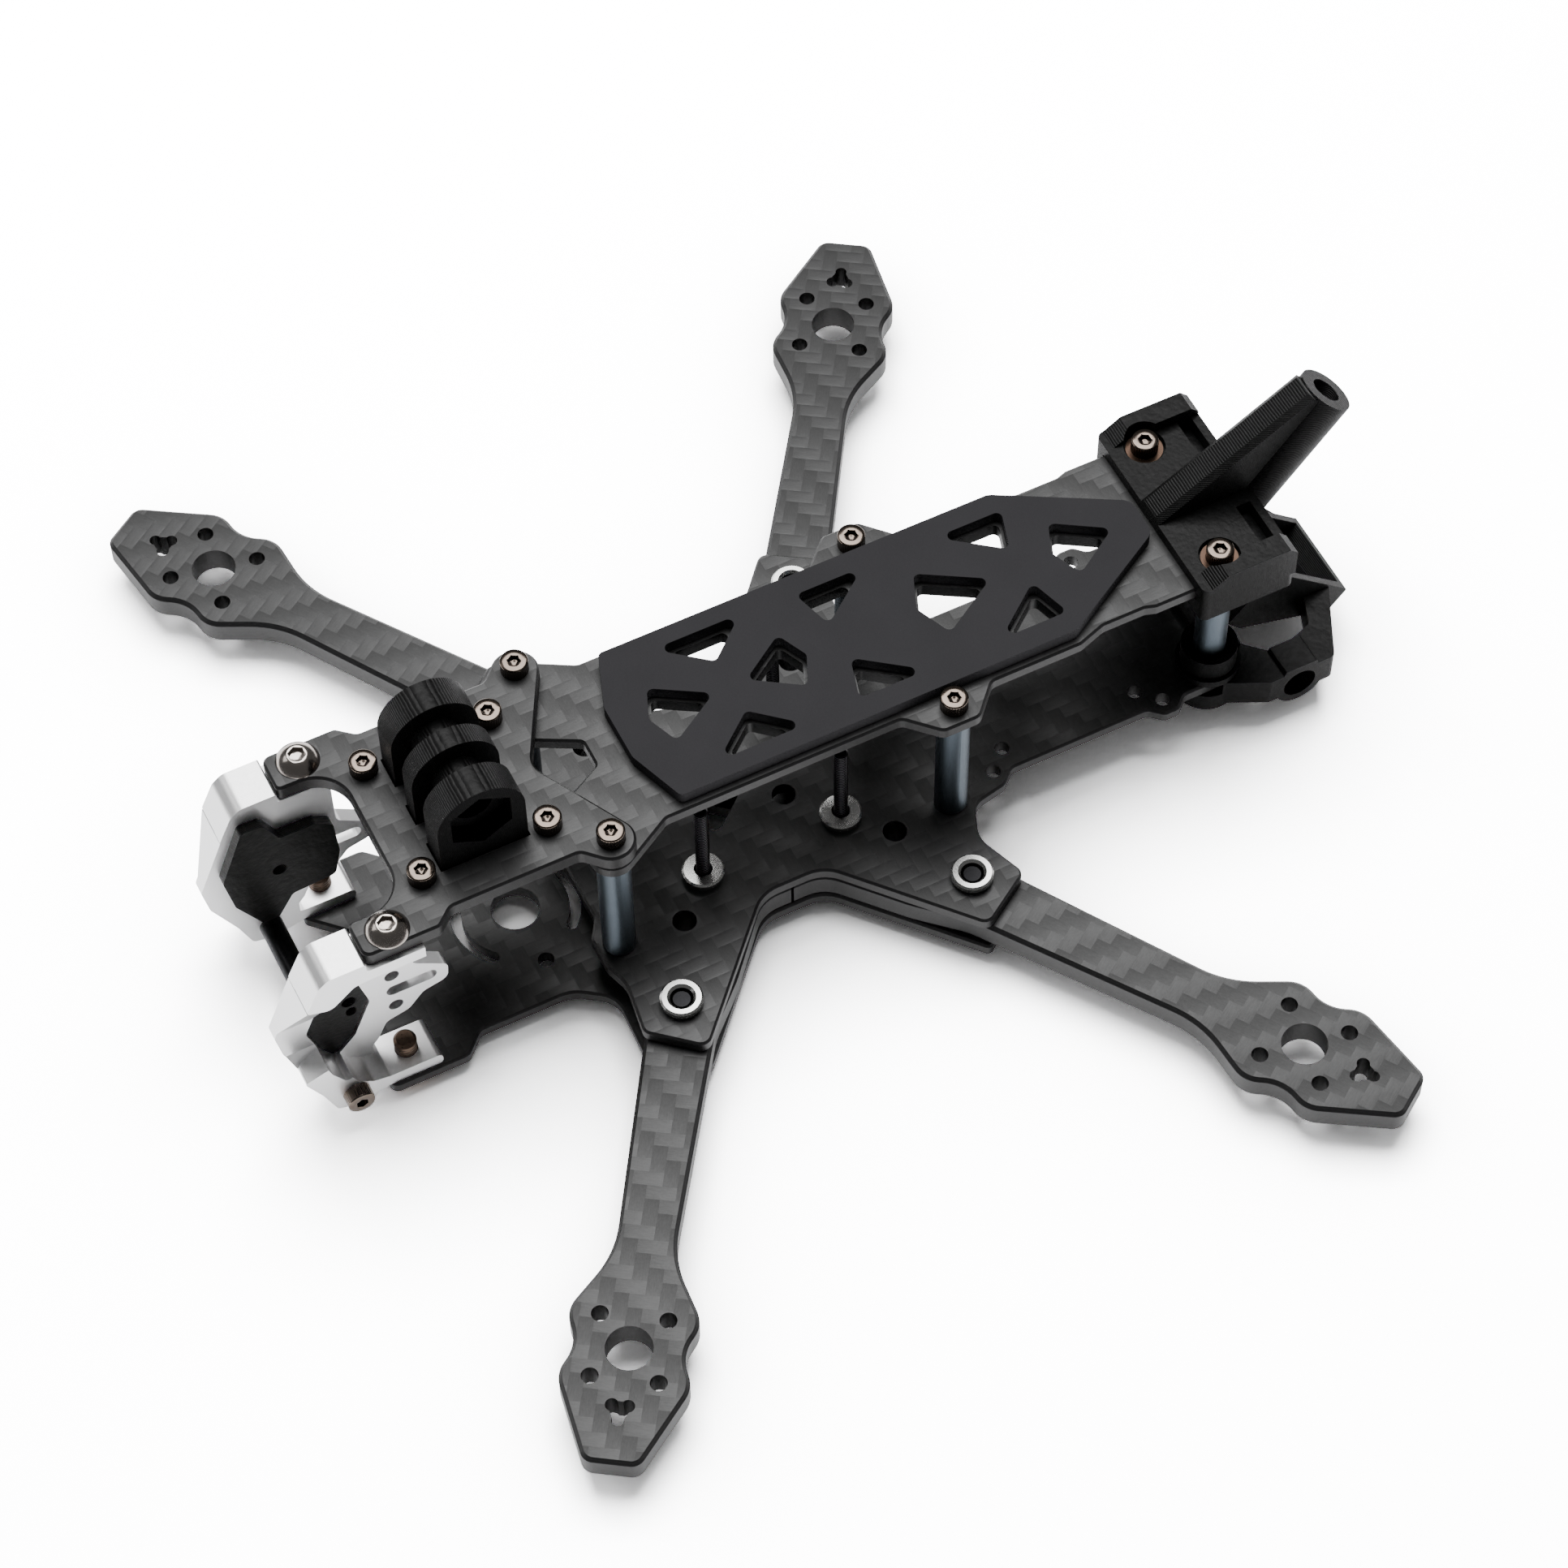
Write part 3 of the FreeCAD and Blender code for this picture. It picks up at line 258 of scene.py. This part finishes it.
def rubber():
    """Dead matt black rubber with a fine moulded grain."""
    material = bpy.data.materials.new("battery pad rubber")
    material.use_nodes = True
    s = Shading(material.node_tree)
    shader = material.node_tree.nodes["Principled BSDF"]
    place = s.add("ShaderNodeTexCoord").outputs["Object"]
    skin = s.add("ShaderNodeGroup", {"node_tree": grain}, Place=place, Grain_Size=0.11 * mm)
    black = s.tint(skin.outputs["Cloud"], (0.0205, 0.0196, 0.0226, 1), (0.0295, 0.0284, 0.0322, 1))
    s.give(shader.inputs["Base Color"], black)
    s.give(shader.inputs["Roughness"], s.math("MULTIPLY_ADD", skin.outputs["Height"], 0.2, 0.68))
    bump = s.add("ShaderNodeBump", Strength=0.6, Distance=0.03 * mm, Height=skin.outputs["Height"])
    s.give(shader.inputs["Normal"], bump)
    shader.inputs["Specular IOR Level"].default_value = 0.35
    return material


clothe("battery_pad", rubber())

# ---------------------------------------------------------------------------
# Camera cage plates.  Milled from solid aluminium and tumbled to a bright satin that
# is softly speckled; each is screwed to the front plate above and the prongs below.
# ---------------------------------------------------------------------------


def satin_metal(name, low, high, roughness, speckle=0.25 * mm, relief=0.012 * mm):
    """Metal whose colour and roughness drift slightly over a fine tumbled grain."""
    material = bpy.data.materials.new(name)
    material.use_nodes = True
    s = Shading(material.node_tree)
    shader = material.node_tree.nodes["Principled BSDF"]
    place = s.add("ShaderNodeTexCoord").outputs["Object"]
    skin = s.add("ShaderNodeGroup", {"node_tree": grain}, Place=place, Grain_Size=speckle)
    s.give(shader.inputs["Base Color"], s.tint(skin.outputs["Cloud"], (*low, 1), (*high, 1)))
    rough = s.math("MULTIPLY_ADD", skin.outputs["Height"], 0.14, roughness - 0.07)
    s.give(shader.inputs["Roughness"], rough)
    bump = s.add("ShaderNodeBump", Strength=0.5, Distance=relief, Height=skin.outputs["Height"])
    s.give(shader.inputs["Normal"], bump)
    shader.inputs["Metallic"].default_value = 1.0
    return material


cage_metal = satin_metal("tumbled aluminium", (0.93, 0.93, 0.935), (0.97, 0.97, 0.97), 0.38)
clothe("cage_plate_left", cage_metal)
clothe("cage_plate_right", cage_metal)

# ---------------------------------------------------------------------------
# Printed parts.  Flexible black plastic laid down in layers: fine level lines on
# every upright wall, a slightly waxy shine and a few stray blobs.
# ---------------------------------------------------------------------------


def layers_group():
    """Printed layers: ridges one layer apart along Level, wandering a little, with small blobs."""
    tree, given, out = new_group(
        "printed layers",
        [("Place", "NodeSocketVector"), ("Level", "NodeSocketFloat"),
         ("Layer Height", "NodeSocketFloat")],
        [("Height", "NodeSocketFloat"), ("Blobs", "NodeSocketFloat")],
    )
    s = Shading(tree)
    wander = s.add("ShaderNodeTexNoise", i0=given.outputs["Place"], Scale=260.0, Detail=2.0)
    level = s.math("DIVIDE", given.outputs["Level"], given.outputs["Layer Height"])
    level = s.math("ADD", level, s.math("MULTIPLY", wander.outputs[0], 0.9))
    ridge = s.math("ABSOLUTE", s.math("SINE", s.math("MULTIPLY", level, math.pi)))
    blobs = s.add("ShaderNodeTexNoise", i0=given.outputs["Place"], Scale=1500.0, Detail=3.0)
    height = s.math("ADD", ridge, s.math("MULTIPLY", blobs.outputs[0], 0.8))
    s.give(out.inputs["Height"], height)
    s.give(out.inputs["Blobs"], blobs)
    return tree


layers = layers_group()


def printed(name, axis=2, layer=0.2 * mm, dark=0.0025, light=0.006, roughness=0.38):
    """Black printed plastic; axis is the direction in which the layers were stacked."""
    material = bpy.data.materials.new(name)
    material.use_nodes = True
    s = Shading(material.node_tree)
    shader = material.node_tree.nodes["Principled BSDF"]
    place = s.add("ShaderNodeTexCoord").outputs["Object"]
    apart = s.add("ShaderNodeSeparateXYZ", i0=place)
    build = s.add("ShaderNodeGroup", {"node_tree": layers}, Place=place,
                  Level=apart.outputs[axis], Layer_Height=layer)
    black = s.tint(build.outputs["Blobs"], (dark, dark, dark, 1), (light, light, light, 1))
    s.give(shader.inputs["Base Color"], black)
    rough = s.math("MULTIPLY_ADD", build.outputs["Blobs"], 0.2, roughness - 0.1)
    s.give(shader.inputs["Roughness"], rough)
    bump = s.add("ShaderNodeBump", Strength=1.0, Distance=0.06 * mm, Height=build.outputs["Height"])
    s.give(shader.inputs["Normal"], bump)
    shader.inputs["Specular IOR Level"].default_value = 0.13
    return material


upright_print = printed("black print, layers level")
side_print = printed("black print, layers side on", axis=0)
for node_name in ("action_camera_mount", "rear_antenna_mount", "rear_lower_mount"):
    clothe(node_name, upright_print)
for node_name in ("camera_insert_left", "camera_insert_right"):
    clothe(node_name, side_print)

# ---------------------------------------------------------------------------
# Standoffs and cross bar.  Six round aluminium posts, anodised slate grey, and a
# black steel bar that ties the feet of the cage together.
# ---------------------------------------------------------------------------

post_metal = satin_metal("slate anodised posts", (0.085, 0.105, 0.125), (0.12, 0.145, 0.17), 0.38,
                         relief=0.003 * mm)
for row in ("front", "mid", "rear"):
    for side in ("left", "right"):
        clothe("standoff_" + row + "_" + side, post_metal)
black_oxide = satin_metal("black oxide steel", (0.012, 0.012, 0.013), (0.02, 0.02, 0.021), 0.3,
                          relief=0.004 * mm)
clothe("cage_cross_bar", black_oxide)

# ---------------------------------------------------------------------------
# Socket-head screws.  Cold-forged M2 steel plated dark nickel: the head's side is
# knurled, its rim bevelled, and the hexagon socket sunk half way into it.
# ---------------------------------------------------------------------------


def islands(node_name):
    """Boxes of the separate solids in a CAD node, as an array of (low, high) corners in metres.

    Points in the same place are welded, and each point then takes the lowest label among its
    neighbours until nothing changes, which leaves one label for each solid.
    """
    mesh = nodes[node_name].data
    points = np.empty(len(mesh.vertices) * 3)
    mesh.vertices.foreach_get("co", points)
    points = points.reshape(-1, 3)
    ends = np.empty(len(mesh.edges) * 2, dtype=int)
    mesh.edges.foreach_get("vertices", ends)
    _, welded = np.unique(np.round(points * 1e6), axis=0, return_inverse=True)
    welded = welded.reshape(-1)
    ends = welded[ends.reshape(-1, 2)]
    label = np.arange(welded.max() + 1)
    while True:
        lowest = np.minimum(label[ends[:, 0]], label[ends[:, 1]])
        spread = label.copy()
        np.minimum.at(spread, ends[:, 0], lowest)
        np.minimum.at(spread, ends[:, 1], lowest)
        spread = spread[spread]
        if np.array_equal(spread, label):
            break
        label = spread
    owner = label[welded]
    solids = [points[owner == k] for k in np.unique(owner)]
    return np.array([(solid.min(axis=0), solid.max(axis=0)) for solid in solids])


def turned(rings, segments, flutes=0, pitch=1.0):
    """Vertices and faces of one closed piece turned about Z.

    Each ring (r, z, h, k, t) has radius r at height z.  h blends the circle into the hexagon
    drawn round it, k is how deep the flutes are pressed in, and t is the depth of a helical
    thread of the given pitch.  A point on the axis closes the piece at either end.
    """
    table = np.array(rings, dtype=float)
    r, z, h, k, t = table.T[:, :, None]
    angle = np.arange(segments) * 2 * np.pi / segments
    hexagon = 1 / np.cos(angle % (np.pi / 3) - np.pi / 6)
    radius = r * (1 + h * (hexagon - 1))
    radius = radius - k * (0.5 + 0.5 * np.cos(flutes * angle)) ** 2
    turn = z / pitch - angle / (2 * np.pi)
    radius = radius - t * np.abs(2 * (turn - np.floor(turn)) - 1)
    points = np.stack([radius * np.cos(angle), radius * np.sin(angle), z + 0 * angle], axis=-1)
    points = np.concatenate([points.reshape(-1, 3), [(0, 0, table[0, 1]), (0, 0, table[-1, 1])]])
    here = np.arange(segments)
    after = (here + 1) % segments
    faces = []
    for ring in range(len(table) - 1):
        low, high = ring * segments, (ring + 1) * segments
        faces.append(np.stack([low + here, low + after, high + after, high + here], axis=1))
    quads = np.concatenate(faces)
    last = (len(table) - 1) * segments
    foot, crown = len(points) - 2, len(points) - 1
    caps = np.concatenate([
        np.stack([np.full(segments, foot), after, here], axis=1),
        np.stack([np.full(segments, crown), last + here, last + after], axis=1),
    ])
    return points, quads, caps


def lay_out(name, piece, seats, material, node_name):
    """One object with a copy of a turned piece at each seat (point, axis), in a CAD node's place."""
    points, quads, caps = piece
    all_points, all_faces = [], []
    for count, (seat, axis) in enumerate(seats):
        up = np.array(axis, dtype=float)
        across = np.array((0.0, 1.0, 0.0))
        frame_axes = np.stack([np.cross(across, up), across, up])
        all_points.append(points @ frame_axes + np.array(seat))
        shift = count * len(points)
        all_faces += (quads + shift).tolist() + (caps + shift).tolist()
    mesh = bpy.data.meshes.new(name)
    mesh.from_pydata(np.concatenate(all_points).tolist(), [], all_faces)
    mesh.polygons.foreach_set("use_smooth", np.ones(len(mesh.polygons), dtype=bool))
    mesh.set_sharp_from_angle(angle=math.radians(38))
    mesh.materials.append(material)
    thing = bpy.data.objects.new(name, mesh)
    bpy.context.scene.collection.objects.link(thing)
    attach(thing, "root")
    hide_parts(node_name)


def socket_rings(head_radius, head_height, shank_radius, length, across_flats, thread=0.06 * mm):
    """Rings of a socket-head screw, its head on z = 0, from the shank's tip up into the socket."""
    tip = [
        (shank_radius * 0.78, -length, 0, 0, 0),
        (shank_radius, -length + 0.22 * shank_radius, 0, 0, 0),
    ]
    steps = max(4, int(length / (0.08 * mm)))
    levels = np.linspace(-length + 0.3 * shank_radius, -0.02 * mm, steps)
    shank = [(shank_radius, level, 0, 0, thread) for level in levels]
    bevel = 0.11 * head_radius
    flat = across_flats / 2
    deep = 0.5 * head_height
    flute = 0.045 * head_radius
    side = [
        (head_radius * 0.95, 0, 0, 0, 0),
        (head_radius, 0.04 * head_height, 0, 0, 0),
        (head_radius, 0.10 * head_height, 0, flute, 0),
        (head_radius, head_height - 1.5 * bevel, 0, flute, 0),
        (head_radius, head_height - bevel, 0, 0, 0),
    ]
    top = [
        (head_radius - 0.3 * bevel, head_height - 0.4 * bevel, 0, 0, 0),
        (head_radius - bevel, head_height, 0, 0, 0),
        (flat * 1.4, head_height, 0, 0, 0),
        (flat * 1.2, head_height, 0, 0, 0),
    ]
    socket = [
        (flat, head_height - 0.03 * mm, 1, 0, 0),
        (flat, head_height - deep, 1, 0, 0),
        (flat * 0.8, head_height - deep - 0.05 * mm, 0, 0, 0),
        (0.02 * mm, head_height - deep - 0.3 * mm, 0, 0, 0),
    ]
    return tip + shank + side + top + socket


dark_nickel = satin_metal("dark nickel steel", (0.085, 0.066, 0.054), (0.19, 0.155, 0.13), 0.15,
                          relief=0.004 * mm)
head_radius = 1.83 * mm
head_height = 2.0 * mm
shank_radius = 1.0 * mm
thread_pitch = 0.4 * mm
key_size = 1.5 * mm
head_flutes = 30


def socket_screw(boxes, axis):
    """Socket-head screw as long as a node's first solid is along the axis (0, 1 or 2)."""
    length = boxes[0, 1, axis] - boxes[0, 0, axis] - head_height
    rings = socket_rings(head_radius, head_height, shank_radius, length, key_size)
    return turned(rings, 4 * head_flutes, head_flutes, thread_pitch)


def upright_screws(node_name):
    """Screws with their heads up, one in each solid of a CAD node."""
    boxes = islands(node_name)
    seats = []
    for low_corner, high_corner in boxes:
        middle = (low_corner + high_corner) / 2
        seats.append(((middle[0], middle[1], high_corner[2] - head_height), (0, 0, 1)))
    screw = socket_screw(boxes, 2)
    lay_out("screws_" + node_name, screw, seats, dark_nickel, node_name)


for group_name in ("front_standoff_screws", "mid_standoff_screws", "rear_standoff_screws",
                   "action_camera_mount_screws"):
    upright_screws(group_name)



def seats_below(boxes, rise):
    """Seats of screws that hang head down: rise is the head's height above each solid's lowest point."""
    return [((*(box.mean(axis=0)[:2]), box[0, 2] + rise), (0, 0, -1)) for box in boxes]


bottom_boxes = islands("standoff_bottom_screws")
lay_out("screws_under_standoffs", socket_screw(bottom_boxes, 2), seats_below(bottom_boxes, head_height),
        dark_nickel, "standoff_bottom_screws")

bar_boxes = islands("cross_bar_screws")
bar_seats = []
for box in bar_boxes:
    middle = box.mean(axis=0)
    side = math.copysign(1.0, middle[0])
    head_end = np.abs(box[:, 0]).max()
    bar_seats.append(((side * (head_end - head_height), middle[1], middle[2]), (side, 0, 0)))
lay_out("screws_of_cross_bar", socket_screw(bar_boxes, 0), bar_seats,
        dark_nickel, "cross_bar_screws")

washer_metal = satin_metal("bronzed washers", (0.045, 0.027, 0.020), (0.085, 0.055, 0.040), 0.30,
                           relief=0.006 * mm)
clothe("rear_washers", washer_metal)
clothe("action_camera_mount_nuts", dark_nickel)

# ---------------------------------------------------------------------------
# Stack screws.  Four long M2 screws, black oxide: heads under the bottom plate,
# rolled thread standing up through the nuts to carry the electronics.
# ---------------------------------------------------------------------------

stack_boxes = islands("stack_screws")
stack_length = stack_boxes[0, 1, 2] - stack_boxes[0, 0, 2] - head_height
stack_radius = 0.94 * mm
stack_thread = 0.09 * mm
stack_flutes = 12
stack_rings = socket_rings(head_radius, head_height, stack_radius, stack_length, key_size, stack_thread)
stack_screw = turned(stack_rings, 4 * stack_flutes, stack_flutes, thread_pitch)
lay_out("screws_of_stack", stack_screw, seats_below(stack_boxes, head_height),
        black_oxide, "stack_screws")

# ---------------------------------------------------------------------------
# Button-head screws.  M3: a low polished dome with a hexagon socket.  A bright pair
# holds the front plate to the cage, a bronzed pair comes up through the cage's feet.
# ---------------------------------------------------------------------------


def button_rings(radius, rise, shank_radius, length, across_flats):
    """Rings of a button-head screw, its head on z = 0; the dome is an arc with a flat crown."""
    tip = [
        (shank_radius * 0.76, -length, 0, 0, 0),
        (shank_radius, -length + 0.25 * shank_radius, 0, 0, 0),
    ]
    steps = max(4, int(length / (0.1 * mm)))
    levels = np.linspace(-length + 0.3 * shank_radius, -0.02 * mm, steps)
    shank = [(shank_radius, level, 0, 0, 0.08 * mm) for level in levels]
    flat = across_flats / 2
    crown = 1.28 * flat
    edge = 0.10 * rise
    centre = (crown ** 2 - radius ** 2 + rise ** 2 - edge ** 2) / (2 * (rise - edge))
    ball = math.hypot(crown, rise - centre)
    brim = [(radius * 0.97, 0, 0, 0, 0), (radius, 0.05 * rise, 0, 0, 0)]
    dome = []
    for level in np.linspace(edge, rise, 14):
        dome.append((math.sqrt(ball ** 2 - (level - centre) ** 2), level, 0, 0, 0))
    socket = [
        (flat * 1.2, rise, 0, 0, 0),
        (flat, rise - 0.03 * mm, 1, 0, 0),
        (flat, rise - 0.62 * rise, 1, 0, 0),
        (flat * 0.8, rise - 0.65 * rise, 0, 0, 0),
        (0.02 * mm, rise - 0.8 * rise, 0, 0, 0),
    ]
    return tip + shank + brim + dome + socket


button_radius = 2.85 * mm
button_rise = 1.65 * mm
bolt_radius = 1.5 * mm
bolt_pitch = 0.5 * mm
button_key = 2.0 * mm


def button_screw(boxes):
    """Button-head screw as long as a node's first solid is high."""
    length = boxes[0, 1, 2] - boxes[0, 0, 2] - button_rise
    rings = button_rings(button_radius, button_rise, bolt_radius, length, button_key)
    return turned(rings, 72, pitch=bolt_pitch)


polished = satin_metal("polished nickel", (0.36, 0.32, 0.29), (0.50, 0.46, 0.43), 0.19,
                       relief=0.001 * mm)
top_boxes = islands("cage_top_screws")
top_seats = [((*(box.mean(axis=0)[:2]), box[1, 2] - button_rise), (0, 0, 1)) for box in top_boxes]
lay_out("buttons_on_cage", button_screw(top_boxes), top_seats,
        polished, "cage_top_screws")

bronzed = satin_metal("bronzed steel", (0.13, 0.085, 0.06), (0.22, 0.16, 0.12), 0.3,
                      relief=0.006 * mm)
foot_boxes = islands("cage_foot_screws")
lay_out("buttons_under_cage", button_screw(foot_boxes), seats_below(foot_boxes, button_rise),
        bronzed, "cage_foot_screws")
arm_boxes = islands("arm_bolts")
lay_out("buttons_under_arms", button_screw(arm_boxes), seats_below(arm_boxes, button_rise),
        black_oxide, "arm_bolts")

# ---------------------------------------------------------------------------
# Round nuts.  Turned from steel and left bright, with a countersunk mouth; they run
# on the arm bolts and the stack screws and clamp the plates together.
# ---------------------------------------------------------------------------

bright_steel = satin_metal("turned bright steel", (0.58, 0.58, 0.565), (0.70, 0.70, 0.68), 0.24,
                           relief=0.0015 * mm)
clothe("arm_nuts", bright_steel)
clothe("stack_nuts", bright_steel)

# ---------------------------------------------------------------------------
# Studio.  White paper under a dim even sky, a broad soft box high up behind the
# part, a small one low at its nose for highlights, and the camera.
# ---------------------------------------------------------------------------

floor_half = 3.0
floor_level = cad_box[0].z
corners = [(-1, -1), (1, -1), (1, 1), (-1, 1)]
floor_mesh = bpy.data.meshes.new("floor")
floor_mesh.from_pydata([(x * floor_half, y * floor_half, floor_level) for x, y in corners],
                       [], [(0, 1, 2, 3)])
floor = bpy.data.objects.new("floor", floor_mesh)
bpy.context.scene.collection.objects.link(floor)
paper = bpy.data.materials.new("white paper")
paper.use_nodes = True
s = Shading(paper.node_tree)
ray = s.add("ShaderNodeLightPath").outputs
place = s.add("ShaderNodeTexCoord").outputs["Object"]
fibres = s.add("ShaderNodeTexNoise", i0=place, Scale=60.0, Detail=3.0)
white = s.tint(fibres.outputs[0], (0.91, 0.91, 0.915, 1), (0.93, 0.93, 0.93, 1))
# the paper is overexposed to the eye and in reflections, but not as a light on the part; to the eye it
# also carries painted shade, darker the more the part closes it in
painted_shade_openness = s.add("ShaderNodeAmbientOcclusion", {"samples": 8}, Distance=0.04).outputs["AO"]
eye_white_with_painted_shade = s.tint(s.math("POWER", painted_shade_openness, 1.6), (1.2, 1.2, 1.2, 1), (13.0, 13.0, 13.1, 1))
mirrored = s.tint(ray["Is Glossy Ray"], white, (2.3, 2.3, 2.32, 1))
matt = s.add("ShaderNodeBsdfDiffuse", Color=s.tint(ray["Is Camera Ray"], mirrored, eye_white_with_painted_shade))
s.give(paper.node_tree.nodes["Material Output"].inputs["Surface"], matt)
floor_mesh.materials.append(paper)

world = bpy.data.worlds.new("soft sky")
bpy.context.scene.world = world
world.use_nodes = True
sky = world.node_tree.nodes["Background"]
sky.inputs["Color"].default_value = (1.0, 1.0, 1.0, 1)
# a weak fill for the part, yet white to the eye past the paper's far edge
s = Shading(world.node_tree)
looked_at = s.add("ShaderNodeLightPath").outputs["Is Camera Ray"]
s.give(sky.inputs["Strength"], s.mix(looked_at, 0.11, 8.0))


def softbox(name, place, target, size, power):
    """Square area light at place, turned to look at target."""
    data = bpy.data.lights.new(name, "AREA")
    data.shape = "SQUARE"
    data.size = size
    data.energy = power
    lamp = bpy.data.objects.new(name, data)
    bpy.context.scene.collection.objects.link(lamp)
    direction = np.array(target) - np.array(place)
    direction /= np.linalg.norm(direction)
    across = np.cross(direction, (0, 0, 1))
    across /= np.linalg.norm(across)
    up = np.cross(across, direction)
    matrix = np.eye(4)
    matrix[:3] = np.stack([across, up, -direction, np.array(place)], axis=1)
    lamp.matrix_world = matrix.T.tolist()


softbox("overhead", (-0.36, 0.14, 1.1), (0, 0, 0), 0.85, 17.0)
softbox("key", (-0.55, -0.60, 0.6), (0, 0, 0), 0.4, 1.0)

camera_data = bpy.data.cameras.new("camera")
camera_data.sensor_width = 36.0
camera_data.lens = 101.692
camera = bpy.data.objects.new("camera", camera_data)
camera.location = (0.294276, -0.134276, 0.484457)
camera.rotation_euler = (math.radians(33.7682), math.radians(0.6153), math.radians(63.4929))
bpy.context.scene.collection.objects.link(camera)
bpy.context.scene.camera = camera
